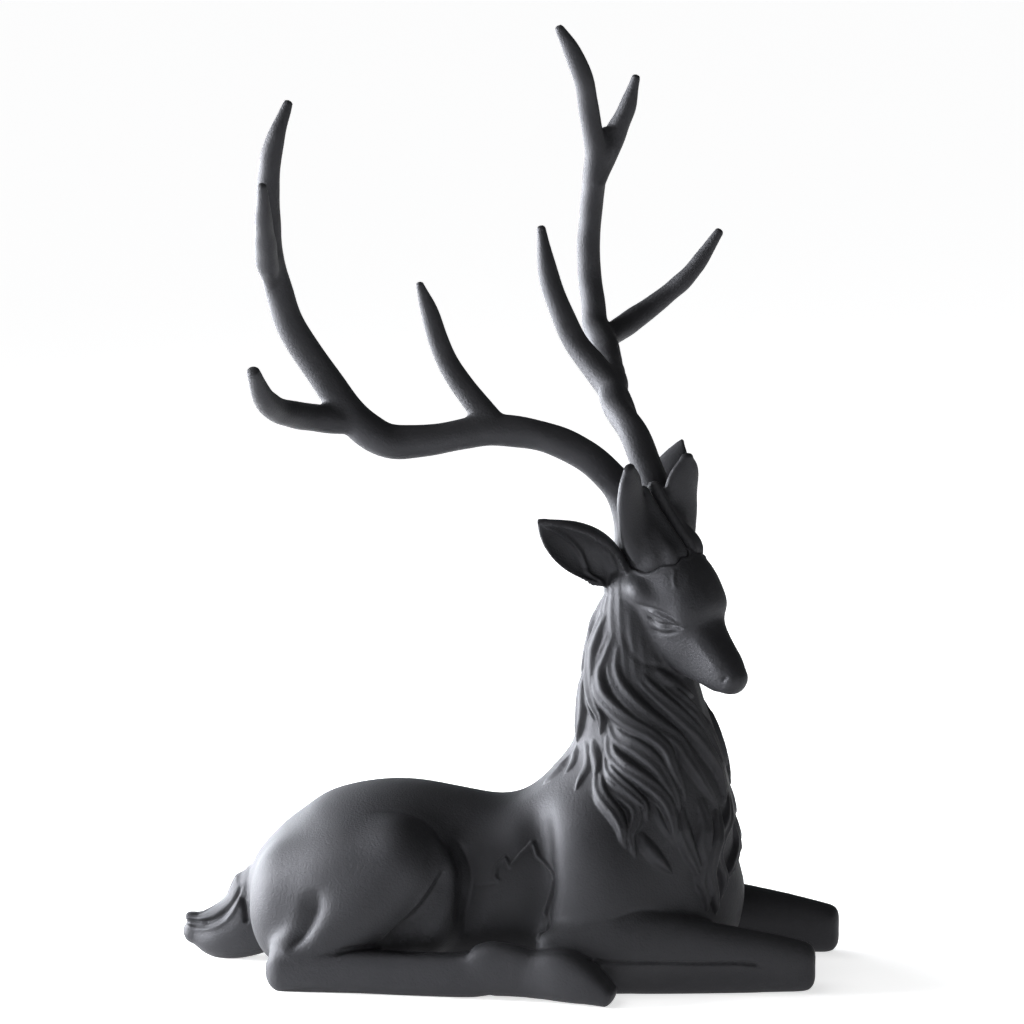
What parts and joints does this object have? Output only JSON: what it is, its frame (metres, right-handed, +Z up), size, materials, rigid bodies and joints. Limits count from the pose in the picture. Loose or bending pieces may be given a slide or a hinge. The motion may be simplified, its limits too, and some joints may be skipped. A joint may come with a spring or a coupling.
{
  "type": "cast iron stag statue",
  "caption": "Cast iron stag lying with folded legs and head turned to its right, with two branched antlers seated in the crown.",
  "frame": {"origin": "on the flat underside, amidships", "axes": "+Z up, +X the way the stag's body faces, -Y its right side, towards which the head is turned"},
  "size_m": [0.2726, 0.2169, 0.3855],
  "materials": {
    "black_iron": "satin black paint over a lightly grained casting"
  },
  "bodies": {
    "root": {"stag_body": "black_iron", "antler_right": "black_iron", "antler_left": "black_iron"}
  },
  "joints": []
}
